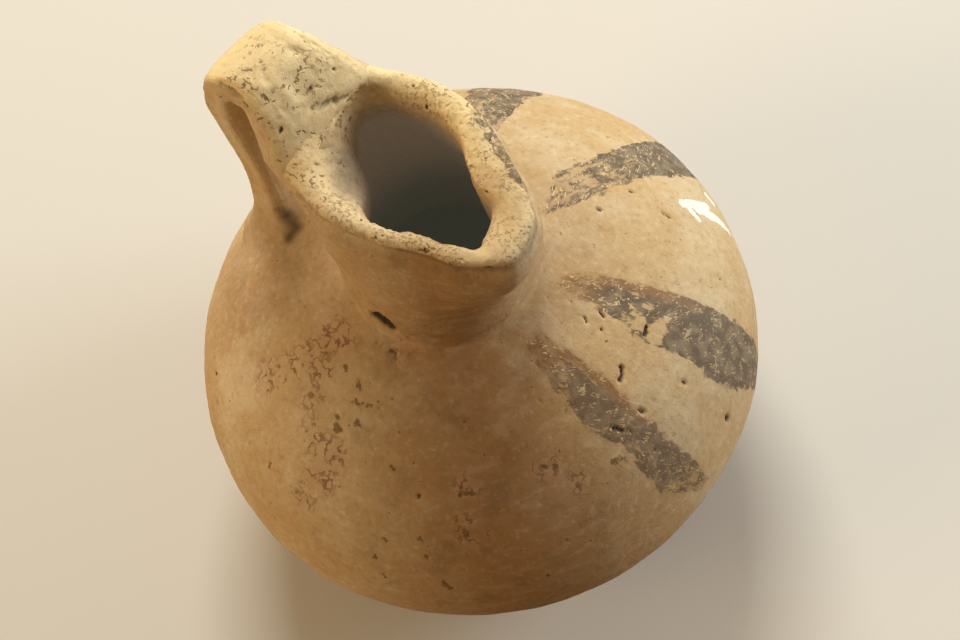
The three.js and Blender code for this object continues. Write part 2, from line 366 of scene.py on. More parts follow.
# The strap's line: a centripetal curve through its stations, read at even steps of length
def strapLine(count):
    stations = np.array(strap["stations"], float)
    ends = np.concatenate([[2 * stations[0] - stations[1]], stations, [2 * stations[-1] - stations[-2]]])
    knots = np.concatenate([[0], np.cumsum(np.sqrt(np.linalg.norm(np.diff(ends[:, :2], axis=0), axis=1)))])
    pieces = []
    for i in range(1, len(ends) - 2):
        t = np.linspace(knots[i], knots[i + 1], 40, endpoint=i == len(ends) - 3)[:, None]
        k = knots[i - 1 : i + 3]
        p = ends[i - 1 : i + 3]
        a = [((k[j + 1] - t) * p[j] + (t - k[j]) * p[j + 1]) / (k[j + 1] - k[j]) for j in range(3)]
        b = [((k[j + 2] - t) * a[j] + (t - k[j]) * a[j + 1]) / (k[j + 2] - k[j]) for j in range(2)]
        pieces.append(((k[2] - t) * b[0] + (t - k[1]) * b[1]) / (k[2] - k[1]))
    fine = np.concatenate(pieces)
    length = np.concatenate([[0], np.cumsum(np.linalg.norm(np.diff(fine[:, :2], axis=0), axis=1))])
    even = np.linspace(0, length[-1], count)
    return np.stack([np.interp(even, length, fine[:, k]) for k in range(7)], axis=1), length[-1]


skew = math.radians(strap["skew"])
strapAcross = np.array([math.sin(skew), math.cos(skew), 0])


def strapFrame(line):
    # Middle, direction along and outward direction at each place of the line
    middle = np.stack([line[:, 0], 0 * line[:, 0], line[:, 1]], axis=1)
    along = np.gradient(middle, axis=0)
    middle = middle + line[:, 2:3] * strapAcross
    along /= np.linalg.norm(along, axis=1, keepdims=True)
    out = np.cross(strapAcross, along)
    return middle, along, out / np.linalg.norm(out, axis=1, keepdims=True)


def strapGap(points):
    # Distance from the strap's skin, below 0 inside it: the section's rounded-box value at the nearest place
    # of the line, divided by its slope
    line, length = strapLine(110)
    middle, along, out = strapFrame(line)
    flat = points[:, None, [0, 2]] - middle[None, :, [0, 2]]
    nearest = np.argmin(np.sum(flat * flat, axis=2), axis=1)
    offset = points - middle[nearest]
    a = offset @ strapAcross
    o = np.sum(offset * out[nearest], axis=1)
    beyond = np.maximum(np.abs(np.sum(offset * along[nearest], axis=1)) - length / 200, 0)
    halfWidth = line[nearest, 3]
    depth = np.where(o > 0, line[nearest, 4], line[nearest, 5])
    power = 2 / line[nearest, 6]
    x = np.abs(a) / halfWidth + 1e-9
    y = np.abs(o) / depth + 1e-9
    level = (x**power + y**power) ** (1 / power)
    slopeX = (x / level) ** (power - 1) / halfWidth
    slopeY = (y / level) ** (power - 1) / depth
    gap = (level - 1) / np.sqrt(slopeX**2 + slopeY**2)
    return np.where(beyond > 0, np.hypot(np.maximum(gap, 0), beyond), gap)


sectionRuns = [
    (shoulderRun, 40),
    (neckRun, 30),
    (bandRun, 24),
    (rollRun, 24),
    (bandInsideRun, 20),
    (neckInsideRun, 6),
]
sectionRadii, sectionHeights = outline(np.arange(361.0), sectionRuns)


def wallGap(points):
    # Distance from the wall's skin, below 0 inside it: to the nearest place of the outline at the point's
    # turn, read between whole degrees
    turn = np.mod(np.degrees(np.arctan2(points[:, 1], points[:, 0])), 360)
    r = np.hypot(points[:, 0], points[:, 1])
    left = np.minimum(turn.astype(int), 359)
    share = turn - left
    radii = sectionRadii[:, left] * (1 - share) + sectionRadii[:, left + 1] * share
    heights = sectionHeights[:, left] * (1 - share) + sectionHeights[:, left + 1] * share
    away = (radii - r) ** 2 + (heights - points[:, 2]) ** 2
    nearest = np.clip(np.argmin(away, axis=0), 1, len(radii) - 2)
    pick = np.arange(len(r))
    alongR = radii[nearest + 1, pick] - radii[nearest - 1, pick]
    alongZ = heights[nearest + 1, pick] - heights[nearest - 1, pick]
    size = np.hypot(alongR, alongZ)
    return ((r - radii[nearest, pick]) * alongZ - (points[:, 2] - heights[nearest, pick]) * alongR) / size


def smoothedLift(gapAt, points, normals):
    # How far a skin rises along its normals where another skin is near, so that the two meet in one round:
    # (reach - spare)^2 / (4 reach), where spare is the gap less the rise, and straight on inside the other
    reach = np.interp(points[:, 2], smoothing["heights"], smoothing["reach"])
    start = gapAt(points)
    sunk = 1 - ease(-start / (0.5 * reach))
    lift = np.zeros(len(points))
    for _ in range(7):
        spare = gapAt(points + lift[:, None] * normals) - lift
        outside = np.maximum(reach - spare, 0) ** 2 / (4 * reach)
        inside = reach / 4 - spare / 2
        wanted = np.where(spare > 0, outside, np.minimum(inside, 0.75 * reach) * sunk)
        lift += 0.6 * (wanted - lift)
    return lift


# Pits, dents and scratches on the wall: turn and height of both ends, radius, depth, and the darkness of the
# shade painted in them
marks = [
    ((-89.2, 69.0), (-86.4, 68.4), 2.1, 1.7, 1.8), ((-92.4, 63.0), (-85.5, 63.3), 0.45, 0.3, 0.55),
    ((-85.5, 63.3), (-79.9, 62.6), 0.45, 0.3, 0.6), ((2.2, 55.6), (-1.2, 55.2), 0.42, 0.6, 1.0),
    ((14.1, 59.0), (13.7, 58.8), 0.4, 0.4, 0.8), ((9.1, 58.6), (8.8, 58.4), 0.38, 0.4, 0.8),
    ((8.9, 59.9), (8.6, 59.7), 0.36, 0.35, 0.7), ((9, 49.4), (9, 49.0), 0.5, 0.4, 0.8),
    ((-3, 51.8), (-3, 51.5), 0.5, 0.5, 0.7), ((10, 38.8), (10, 38.3), 0.85, 0.8, 0.9),
    ((82, 52.3), (81.6, 52.1), 0.4, 0.4, 0.8), ((53, 53.2), (51.6, 52.5), 0.5, 0.35, 0.6),
    ((60.6, 55.6), (60.2, 55.4), 0.42, 0.5, 0.8), ((56.2, 59.0), (55.8, 58.8), 0.4, 0.5, 0.7),
    ((-29, 53.1), (-31, 53.2), 0.5, 0.3, 0.4), ((-39, 38.3), (-38.5, 37.9), 0.5, 0.4, 0.6),
    ((-11.4, 52.7), (-10.1, 51.9), 0.32, 0.45, 0.7), ((-10.1, 51.9), (-8.2, 50.8), 0.3, 0.4, 0.6),
    ((16.0, 55.2), (14.0, 55.2), 0.5, 0.6, 1.2), ((21, 91.3), (17, 90.6), 0.5, 0.9, 1.0),
]

# Dents on the strap and the rim beside it: both ends as x, y, z, radius, depth, and the darkness of the
# shade painted in them
strapMarks = [
    ((-18.2, 0.4, 95.4), (-16.7, 2.6, 94.4), 0.8, 0.8, 0.6),
    ((-16.7, 2.6, 94.4), (-15.9, 4.9, 93.8), 0.55, 0.4, 0.6),
    ((-15.9, 4.9, 93.8), (-14.9, 7.1, 93.2), 0.45, 0.3, 0.4),
    ((-19.2, 0.8, 97.9), (-19.0, 0.9, 97.8), 0.5, 0.9, 1.0),
    ((-21.5, 0.3, 99.6), (-19.6, -0.1, 98.3), 1.2, 0.45, 0.05),
    ((-30.2, -5.7, 100.5), (-28.2, -6.0, 100.9), 0.75, 0.45, 0.12),
    ((-28.2, -6.0, 100.9), (-26.3, -6.6, 100.5), 0.95, 0.5, 0.12),
    ((-24.0, 3.8, 101.5), (-23.0, 4.3, 101.1), 0.7, 0.35, 0.1),
    ((-25.0, -1.6, 101.7), (-23.8, -2.2, 101.2), 0.8, 0.3, 0.05),
]

# Painted shadow in the corner under the strap's near edge: both ends as x, y, z, and radius
cornerShadow = [
    ((-30.8, -6.6, 63.0), (-29.6, -6.7, 60.8), 0.3),
    ((-29.6, -6.7, 60.8), (-28.4, -6.9, 58.7), 0.9),
    ((-28.4, -6.9, 58.7), (-28.7, -9.0, 57.7), 0.7),
]

# Ragged brown stains: turn and height of both ends, and radius
stains = [
    ((-99.6, 60.2), (-98.6, 60.1), 0.5), ((-91.2, 59.8), (-90.0, 59.6), 0.6),
    ((-89.5, 58.6), (-86.1, 58.8), 0.55), ((-86.1, 58.8), (-83.3, 58.8), 0.45),
    ((-92.0, 56.9), (-91.0, 56.4), 0.5), ((-91.0, 56.2), (-89.7, 56.2), 0.65),
    ((-85.4, 57.4), (-84.6, 57.2), 0.5), ((-52.6, 52.9), (-50.8, 52.9), 0.8),
    ((-53.3, 48.7), (-52.7, 48.2), 0.55), ((-63.6, 47.5), (-63.2, 47.1), 0.4),
    ((-62.3, 44.8), (-61.9, 44.4), 0.5), ((-71.6, 46.5), (-71.2, 46.1), 0.4),
    ((-73.6, 43.3), (-73.2, 42.9), 0.5), ((-71.8, 39.9), (-71.4, 39.5), 0.5),
    ((-59.4, 39.8), (-58.4, 38.8), 0.6), ((-103.7, 47.8), (-103.3, 47.4), 0.4),
    ((-71.6, 55.1), (-71.2, 54.9), 0.35), ((-16.5, 50.0), (-14.0, 49.2), 0.5),
    ((-31.5, 53.3), (-28.5, 53.0), 0.7),
]


def markPoint(turn, z):
    # The place on the outer wall at a turn and a height
    r = shoulderOut(z) if z <= body["neckSeat"] else wallOut(z, np.array([float(turn)]))[0]
    angle = math.radians(turn)
    return np.array([float(r) * math.cos(angle), float(r) * math.sin(angle), z])


def awayFromRun(points, start, end):
    # Distance from a straight run between two places
    run = end - start
    share = np.clip((points - start) @ run / max(run @ run, 1e-9), 0, 1)
    return np.linalg.norm(points - start - share[..., None] * run, axis=-1)


specks = {"body": 260, "lip": 90, "small": 0.28, "large": 0.5, "depth": 0.5, "seed": 5}
# The noise that makes a pit's edge ragged: size, reach and first seed
raggedEdges = [(1.6, 0.3, 31), (0.7, 0.22, 34)]


def speckPits(draw, places):
    # Small pits at the given places: a few large, most small, the shade painted in some darker than in
    # others
    count = len(places)
    radius = specks["small"] + (specks["large"] - specks["small"]) * draw.random(count) ** 4
    end = places + draw.normal(size=(count, 3)) * 0.3
    dark = 0.9 * draw.random(count) ** 2
    return [(places[k], end[k], radius[k], specks["depth"] * radius[k], dark[k]) for k in range(count)]


def pitDepth(points, lipPlaces):
    # Each pit is a bowl with a soft edge: its depth, and how dark the shade painted in it is. The named ones
    # come first, set on the skin where they are near it, then a scatter of small ones over the body and the
    # lip
    runs = [(markPoint(*a), markPoint(*b), *rest) for a, b, *rest in marks]
    for a, b, *rest in strapMarks:
        ends = []
        for end in (np.array(a, float), np.array(b, float)):
            away = np.linalg.norm(points - end, axis=1)
            nearest = np.argmin(away)
            ends.append(points[nearest] if away[nearest] < 1.2 else end)
        runs.append((*ends, *rest))
    draw = np.random.default_rng(specks["seed"])
    turn = draw.uniform(-np.pi, np.pi, specks["body"])
    z = body["belly"] + draw.uniform(-0.8, 1, specks["body"]) * (body["neckSeat"] - body["belly"])
    r = np.where(z > body["belly"], shoulderOut(z), oval(body["radius"], bowlDrop, body["belly"] - z))
    runs += speckPits(draw, np.stack([r * np.cos(turn), r * np.sin(turn), z], axis=1))
    runs += speckPits(draw, lipPlaces[draw.integers(len(lipPlaces), size=specks["lip"])])
    warped = points
    for size, far, seed in raggedEdges:
        warped = warped + far * np.stack([clayNoise(points, size, seed + k) for k in range(3)], axis=-1)
    depth = np.zeros(len(points))
    shade = np.zeros(len(points))
    byHeight = np.argsort(points[:, 2])
    sortedHeights = points[byHeight, 2]
    for start, end, radius, deep, dark in runs:
        reach = 1.5 * radius + 1.5 + np.abs(end - start).max()
        slab = byHeight[slice(*np.searchsorted(sortedHeights, (start[2] - reach, start[2] + reach)))]
        near = slab[np.abs(points[slab] - start).max(axis=1) < reach]
        bowl = (1 - ease(awayFromRun(warped[near], start, end) / radius / 1.25)) ** 0.8
        depth[near] = np.maximum(depth[near], deep * bowl)
        shade[near] = np.maximum(shade[near], dark * bowl)
    return depth, shade


# What the hands and the wheel left: slow swells, finger-wide unevenness, dimples, wheel lines and a fine
# tooth. For each: depth, how much deeper on the rim, how stretched round the axis, size and seed
handLayers = [
    (0.42, 0, 1, 33, 41),
    (0.16, 0, 1, 9, 42),
    (0.07, 0.07, 1, 3.2, 43),
    (0.035, 0, 0.05, 1.3, 44),
    (0.03, 0.04, 1, 1.1, 45),
]


def handRelief(points):
    # The sum over the layers of depth times noise
    rim = ease((points[:, 2] - 87) / 3)
    total = np.zeros(len(points))
    for depth, onRim, drawn, size, seed in handLayers:
        total += (depth + onRim * rim) * clayNoise(points * [drawn, drawn, 1], size, seed)
    return total


# The wall of the whole vessel as one grid, which the four pieces share, so that their seams can't show
wallRuns = [
    ("base", baseRun, 14),
    ("bowl", bowlRun, 78),
    ("shoulder", shoulderRun, 102),
    ("neck", neckRun, 46),
    ("band", bandRun, 34),
    ("roll", rollRun, 40),
    ("bandInside", bandInsideRun, 26),
    ("neckInside", neckInsideRun, 24),
    ("shoulderInside", shoulderInsideRun, 16),
    ("bowlInside", bowlInsideRun, 16),
]
turns = np.arange(body["columns"]) * 360 / body["columns"]
radii, heights = outline(turns, [(run, count) for _, run, count in wallRuns])
angles = np.radians(turns)
wallGrid = np.stack([radii * np.cos(angles), radii * np.sin(angles), heights], axis=-1)
wallShape = wallGrid.shape
startRow = dict(zip([name for name, _, _ in wallRuns], np.cumsum([0] + [count for _, _, count in wallRuns])))
lastRow = wallShape[0] - 1
rowNumber = np.repeat(np.arange(wallShape[0]), wallShape[1])
print("wall outline:", wallShape)

wallNormals = gridNormals(wallGrid, False).reshape(-1, 3)
wallPoints = wallGrid.reshape(-1, 3)
nearStrap = np.flatnonzero(
    (wallPoints[:, 0] < smoothing["behind"])
    & (wallPoints[:, 2] > body["belly"] + smoothing["overBelly"])
    & (np.abs(wallPoints[:, 1]) < smoothing["aside"])
    & (rowNumber < startRow["neckInside"])
)
lift = np.zeros(len(wallPoints))
lift[nearStrap] = smoothedLift(strapGap, wallPoints[nearStrap], wallNormals[nearStrap])
fadeStart = startRow["roll"] + smoothing["fadeRow"]
lift *= 1 - ease((rowNumber - fadeStart) / smoothing["fadeRows"])  # the throat keeps its own shape
wallBare = wallPoints + lift[:, None] * wallNormals
outsideOfBase = ease(heights.reshape(-1) / 4)
wallFaced = rowNumber < startRow["bandInside"]
lipRows = (rowNumber > startRow["roll"] + 2) & (rowNumber < startRow["bandInside"] - 6)
wallPits, wallShade = pitDepth(wallBare, wallBare[lipRows])
wallSkin = wallBare + (outsideOfBase * (handRelief(wallBare) - wallPits * wallFaced))[:, None] * wallNormals
wallShading = gridNormals(wallSkin.reshape(wallShape), False)
wallShading[0] = (0, 0, -1)
print("wall skin:", len(wallSkin), "places")


def behindThroat(points):
    # The strap's clay ends inside the wall: on the throat's side it is pushed out until it lies deep in it
    turn = np.degrees(np.arctan2(points[:, 1], points[:, 0]))
    brink = 0.75 * lipInner(turn) + 0.25 * lipOuter(turn)
    besideLip = (points[:, 2] > body["neckSeat"]) * (points[:, 2] < lipTop(turn) + 1)
    for _ in range(12):
        r = np.hypot(points[:, 0], points[:, 1])
        short = np.clip(wallGap(points) + strap["sunk"], 0, 3)
        throatSide = ease((brink + 1.6 - r) / 3) * besideLip
        push = 1 + throatSide * short / np.maximum(r, 4)
        points = points * np.stack([push, push, np.ones_like(push)], axis=1)
    return points


# The strap with the clay wads at both its ends, as one skin: a rounded box at each place of the line, which
# is half the width times cos(a)^roundness across and the depth times sin(a)^roundness out, with their signs
def strapSkin():
    line, _ = strapLine(strap["rows"])
    middle, along, out = strapFrame(line)
    angle = np.arange(strap["columns"]) * 2 * np.pi / strap["columns"]
    sideways = np.sign(np.cos(angle)) * np.abs(np.cos(angle)) ** line[:, 6:7]
    outward = np.sign(np.sin(angle)) * np.abs(np.sin(angle)) ** line[:, 6:7]
    depth = np.where(outward > 0, line[:, 4:5], line[:, 5:6])
    grid = (
        middle[:, None]
        + (line[:, 3:4] * sideways)[..., None] * strapAcross
        + (depth * outward)[..., None] * out[:, None]
    )
    normals = -gridNormals(grid, False).reshape(-1, 3)
    points = grid.reshape(-1, 3)
    rise = smoothedLift(wallGap, points, normals)
    points = behindThroat(points + rise[:, None] * normals)
    groove = strap["sideGroove"] * np.exp(-((outward / 0.35) ** 2))
    share = np.linspace(0, 1, strap["rows"])[:, None] * np.ones(strap["columns"])
    groove = groove * ease((share - 0.35) / 0.1) * ease((0.85 - share) / 0.1)
    pits, shade = pitDepth(points, points[points[:, 2] > 96])
    aroundStrap = [np.cos(angle) * 9 + 0 * share, np.sin(angle) * 9 + 0 * share]
    pulled = 0.05 * clayNoise(np.stack([share * 12, *aroundStrap], axis=-1), 1.2, 51)
    moved = handRelief(points) - pits - groove.reshape(-1) + pulled.reshape(-1)
    return points + moved[:, None] * normals, shade, normals


strapPoints, strapShade, strapNormals = strapSkin()
print("strap skin:", len(strapPoints), "places")

# Painted stripes: latitude from the neck outwards, turn, half width and how worn at each station, and how
# much of the upper edge is thin brown paint
stripes = [
    {
        "stations": [
            (22, 20.2, 1.0, 0.7), (27, 21.8, 2.0, 0.6), (32, 21.7, 2.8, 0.5),
            (37, 21.2, 3.7, 0.42), (43, 20.5, 5.0, 0.32), (53, 21.5, 5.2, 0.16),
            (64, 21.1, 5.9, 0.12), (72, 21.6, 5.8, 0.16), (80, 23.1, 4.6, 0.3),
            (94, 25, 2.6, 0.5),
        ],
        "thin": 0.7,
    },
    {
        "stations": [
            (24, -11.5, 1.3, 0.7), (30, -11.3, 2.7, 0.55), (41, -10, 3.9, 0.3),
            (46, -10, 3.9, 0.3), (53, -8.1, 3.0, 0.4), (57, -7.8, 3.0, 0.4),
            (63, -7.8, 3.9, 0.3), (72, -6.6, 3.7, 0.4), (78, -4.8, 2.9, 0.55),
            (86, -2.4, 1.0, 0.7),
        ],
        "thin": 0.9,
    },
    {
        "stations": [
            (20, 60, 0.7, 0.75), (25, 65.5, 2.2, 0.62), (28, 68.8, 3.5, 0.58),
            (34, 69.8, 3.9, 0.5), (40, 69.9, 3.8, 0.46), (46, 70.8, 3.8, 0.42),
            (52, 71, 4.2, 0.34), (57, 71, 4.7, 0.25), (65, 71.6, 4.9, 0.1), (97, 75, 4.8, 0.2),
        ],
        "thin": 0,
    },
    {
        "stations": [
            (24, 113, 1.2, 0.6), (38, 115, 3.4, 0.5), (50, 116, 5.6, 0.4),
            (62, 115, 6.6, 0.35), (97, 118, 5.2, 0.4),
        ],
        "thin": 0.3,
    },
    {"stations": [(30, 150, 2.6, 0.6), (50, 151, 5.4, 0.45), (97, 153, 5.2, 0.5)], "thin": 0.5},
]

# Thin brown paint: from which share across a stripe, over how much more and up to which latitude; and at the
# neck, up to which latitude and how much
thinPaint = {"across": 0.45, "over": 0.4, "until": 62, "neckUntil": 34, "neckShare": 0.8}

# Where paint is chipped off: both ends as x, y, z, and radius
chips = [
    ((31.4, 9.3, 55.9), (34.3, 8.8, 54.3), 1.3),
    ((33.4, 9.4, 54.9), (34.4, 11.2, 53.9), 1.2),
    ((34.2, 12.9, 53.7), (33.2, 11.0, 54.6), 0.5),
    ((29.4, 9.6, 56.8), (30.4, 10.6, 56.2), 0.35),
    ((30.2, 12.2, 55.8), (31.0, 12.6, 55.2), 0.3),
]

# White lime: both ends as x, y, z, and radius
lime = [
    ((23.0, 34.2, 49.6), (24.0, 36.6, 46.8), 1.1),
    ((24.0, 36.6, 46.8), (24.9, 38.9, 43.6), 0.95),
    ((24.6, 34.3, 48.6), (26.4, 33.8, 47.9), 0.9),
    ((24.8, 36.0, 46.8), (26.8, 37.5, 43.7), 1.45),
    ((26.8, 37.5, 43.7), (28.3, 38.2, 41.0), 1.3),
    ((28.3, 38.2, 41.0), (29.3, 38.5, 39.0), 1.0),
    ((22.7, 41.7, 41.0), (24.0, 41.5, 40.0), 1.1),
]

# Fine brown crust on the handle and the rim, and softer, broader crust on the body: x, y, z, radius
fineCrust = [
    (-12.5, -2, 90.5, 6), (-21.5, -2, 99.4, 7), (-25.5, -4.5, 101.4, 4.5), (-27, -1, 102, 4),
    (-19.0, -4.4, 97, 6), (-15.5, -6, 93.5, 6), (-13, -8, 92.5, 6), (-9.3, -9.5, 92.3, 4),
    (-21, 4, 98.6, 3),
]
broadCrust = [
    (-17.0, -30.8, 54.8, 3.2), (-13.8, -28.6, 56.6, 3.0), (-12.0, -25.4, 58.3, 2.8),
    (-9.8, -21.7, 60.4, 3.0), (-6.8, -20.0, 61.8, 3.0), (-7.6, -26.2, 58.8, 2.6), (-7.5, -30.0, 56.8, 2.6),
    (-4.2, -35.0, 54.4, 3.0), (0.6, -36.4, 53.8, 3.4), (0.2, -39.8, 51.0, 3.0), (-1.4, -42.9, 47.8, 2.6),
    (3.6, -17.0, 65.0, 2.4), (22.9, -28.6, 53.3, 2.4), (26.2, -33.2, 48.8, 3.2), (31.6, -18.8, 53.1, 2.4),
    (36.7, -17.1, 50.3, 2.2),
]


def stripePaint(points):
    # Signed distance inside the nearest stripe in mm, how worn that stripe is there, how thin its paint is,
    # and the places along and across it in mm
    r = np.hypot(points[:, 0], points[:, 1])
    turn = np.degrees(np.arctan2(points[:, 1], points[:, 0]))
    upright = (points[:, 2] - body["belly"]) * body["radius"] / body["rise"]
    latitude = np.degrees(np.arctan2(r, upright))
    paint = np.full(len(points), -9.0)
    worn = np.full(len(points), 0.5)
    thin = np.zeros(len(points))
    across = np.zeros(len(points))
    for stripe in stripes:
        table = np.array(stripe["stations"], float)
        centre, half, wear = (np.interp(latitude, table[:, 0], table[:, k]) for k in (1, 2, 3))
        side = np.radians(np.mod(turn - centre + 180, 360) - 180) * r
        ends = np.minimum(latitude - table[0, 0], table[-1, 0] - latitude) * 0.8
        within = np.minimum(half - np.abs(side), ends)
        worn = np.where(within > paint, wear, worn)
        edge = ease((side / half - thinPaint["across"]) / thinPaint["over"])
        edge = edge * ease((thinPaint["until"] - latitude) / 20)
        edge = edge + thinPaint["neckShare"] * ease((thinPaint["neckUntil"] - latitude) / 8)
        edge = np.minimum(edge + stripe["thin"] ** 4 * 0.4, 1)
        thin = np.where(within > paint, stripe["thin"] * edge, thin)
        across = np.where(within > paint, side, across)
        paint = np.maximum(paint, within)
    return paint, worn, thin, np.radians(latitude) * body["radius"], across


def insideRuns(points, runs):
    # Signed distance inside the nearest of some rounded runs
    inside = np.full(len(points), -9.0)
    for start, end, radius in runs:
        away = awayFromRun(points, np.array(start, float), np.array(end, float))
        inside = np.maximum(inside, radius - away)
    return inside


def nearPlaces(points, places, edge):
    # 1 near any of the places, fading over the edge
    near = np.zeros(len(points))
    for x, y, z, radius in places:
        away = np.linalg.norm(points - (x, y, z), axis=1)
        near = np.maximum(near, ease((radius - away) / edge + 0.5))
    return near


# Where the clay's tones lie, in degrees and mm: the worn paint on the rim, the brown front and neck (partly
# painted shade), the painted shadow beside the handle's foot, the lip's far side paled by painted highlight,
# its near side darkened by painted shade, and how the throat darkens with painted shade
tones = {
    "rimPaint": {"from": 16, "to": 88, "half": 1.9, "in": 0.8, "worn": 0.5, "thin": 0.15},
    "front": {"turn": -45, "spread": 34, "share": 0.8},
    "neck": {"from": 54, "to": 90.5, "within": 32, "turn": -50, "share": 0.35, "more": 0.25},
    "shade": {"place": (-31, -18, 53, 13), "edge": 16, "share": 0.45},
    "farTurn": 122,
    "nearLip": 0.2,
    "lipFrom": 88,
    "deepFrom": 80,
    "deepOver": 15,
}


def surfaceNotes(points, normals, pits, inside):
    # What the clay's material reads at each place: shares from 0 to 1, and distances in mm, above 0 inside
    paint, worn, thin, along, across = stripePaint(points)
    paint = np.minimum(paint, -insideRuns(points, chips))
    turn = np.degrees(np.arctan2(points[:, 1], points[:, 0]))
    r = np.hypot(points[:, 0], points[:, 1])
    z = points[:, 2]
    band = tones["rimPaint"]
    window = ease((turn - band["from"]) / 10) * ease((band["to"] - turn) / 16)
    away = np.abs(lipOuter(turn) - r - band["in"])
    rimPaint = band["half"] * window - away - 2.4 * ease((90 - z) / 1.5) - 0.3
    rimPaint = np.where(z > 86, rimPaint, -9)
    worn = np.where(rimPaint > paint, band["worn"], worn)
    thin = np.where(rimPaint > paint, band["thin"], thin)
    # Partly the clay's browner tone and partly painted shade: the front below the neck, where the neck's
    # shadow falls
    frontTone = tones["front"]["share"] * ease((z - 4) / 20)
    frontTone = frontTone * np.exp(-(((turn - tones["front"]["turn"]) / tones["front"]["spread"]) ** 2))
    # Painted shadow beside the handle's foot
    shade = tones["shade"]
    shaded = shade["share"] * nearPlaces(points, [shade["place"]], shade["edge"])
    # The neck's brown tone; the extra on its front is painted shade
    neck = tones["neck"]
    neckFront = ease((60 - np.abs(turn - neck["turn"])) / 50)
    neckTone = ease((z - neck["from"]) / 8) * ease((neck["to"] - z) / 3) * ease((neck["within"] - r) / 12)
    neckTone = neckTone * (neck["share"] + neck["more"] * neckFront)
    # The lip's side towards the lamps: painted highlight is stronger there, and painted shade lies on the
    # other side
    far = math.radians(tones["farTurn"])
    farSide = ease((points @ (math.cos(far), math.sin(far), 0) + 6) / 16)
    rim = ease((z - tones["lipFrom"]) / 3)
    # Painted shade on the near side of the lip
    nearLip = tones["nearLip"] * (1 - farSide) * rim
    # Painted shade in the groove under the lip
    groove = np.exp(-(((z - lipFoot(turn) - 0.4) / 0.8) ** 2))
    stainRuns = [(markPoint(*a), markPoint(*b), radius) for a, b, radius in stains]
    return {
        "paint": np.where(inside > 0.5, -9, np.maximum(paint, rimPaint)),
        "worn": worn,
        "thin": thin,
        "along": along,
        "across": across,
        "fineCrust": nearPlaces(points, fineCrust, 5),
        "broadCrust": nearPlaces(points, broadCrust, 3),
        "lime": insideRuns(points, lime),
        "stain": insideRuns(points, stainRuns),
        # Painted shadow in the corner under the strap
        "corner": ease(insideRuns(points, cornerShadow) / 2 + 0.6),
        # The shade painted in pits and dents
        "pits": pits,
        "inside": inside,
        # Painted shade, darker deeper in the throat
        "deep": inside * ease((tones["deepFrom"] - z) / tones["deepOver"]),
        # The clay's brown tone together with painted shade and painted shadow
        "brownAndShade": np.maximum(neckTone, np.maximum(frontTone, nearLip + shaded)),
        # Partly rubbing wear and partly painted highlight: upward faces of the rim and strap are paler, most
        # on the side towards the lamps
        "rubbedAndHighlight": ease((normals[:, 2] - 0.3) / 0.5) * rim * (0.4 + 0.6 * farSide) * (1 - inside),
        "rim": rim * (1 - inside) * ease((points[:, 0] + 14) / 5),
        "groove": groove * (1 - inside) * (r > lipInner(turn) + 2) * (np.abs(turn) < 140),
    }


def closedSkin(name, points, faces, notes, normals=None):
    # A mesh from arrays of places and four-cornered faces
    mesh = bpy.data.meshes.new(name)
    mesh.vertices.add(len(points))
    mesh.vertices.foreach_set("co", (points * mm).astype(np.float32).ravel())
    corners = np.concatenate([np.ravel(block) for block in faces])
    counts = np.concatenate([np.full(len(block), block.shape[1]) for block in faces])
    mesh.loops.add(len(corners))
    mesh.loops.foreach_set("vertex_index", corners.astype(np.int32))
    mesh.polygons.add(len(counts))
    starts = np.concatenate([[0], np.cumsum(counts)[:-1]])
    mesh.polygons.foreach_set("loop_start", starts.astype(np.int32))
    mesh.polygons.foreach_set("use_smooth", np.ones(len(counts), bool))
    mesh.update(calc_edges=True)
    for note, values in notes.items():
        attribute = mesh.attributes.new(note, "FLOAT", "POINT")
        attribute.data.foreach_set("value", values.astype(np.float32))
    if normals is not None:
        mesh.normals_split_custom_set_from_vertices(normals.tolist())
    made = bpy.data.objects.new(name, mesh)
    scene.collection.objects.link(made)
    return made


def bandFaces(rows, columns, first):
    # Four-cornered faces between neighbouring rows of a grid whose columns close on themselves
    row = np.arange(rows - 1)[:, None] * columns
    column = np.arange(columns)
    after = (column + 1) % columns
    quads = np.stack([row + column, row + after, row + columns + after, row + columns + column], axis=-1)
    return quads.reshape(-1, 4) + first


def fanFaces(hub, first, columns, turned):
    # Three-cornered faces from a middle place to each step of the ring that starts at first
    ring = first + np.arange(columns)
    after = first + (np.arange(columns) + 1) % columns
    pair = (ring, after) if turned else (after, ring)
    return np.stack([np.full(columns, hub), *pair], axis=-1)


# How much of the throat's dark tone, partly dirt and partly painted shade, a place has: it grows downwards
# from below the lip's top, and on the sloping side also inwards from the lip's outer edge; there is none
# before a row of the roll
throat = {"below": 1.8, "fall": 3.5, "slope": 5, "inwards": 3.6, "over": 4, "share": 0.9, "firstRow": 12}
wallTurn = np.tile(turns, wallShape[0])
fallen = lipTop(wallTurn) - wallSkin[:, 2] - throat["below"]
wallInside = ease(fallen / (throat["fall"] + lipSlope(wallTurn)))
wallReach = np.hypot(wallSkin[:, 0], wallSkin[:, 1])
wallSlope = np.minimum(lipSlope(wallTurn) / throat["slope"], 1)
wallSlope = wallSlope * ease((lipOuter(wallTurn) - wallReach - throat["inwards"]) / throat["over"])
wallInside = np.maximum(wallInside, throat["share"] * wallSlope)
wallInside[rowNumber < startRow["roll"] + throat["firstRow"]] = 0
wallNotes = surfaceNotes(wallSkin, wallShading.reshape(-1, 3), wallShade * wallFaced, wallInside)


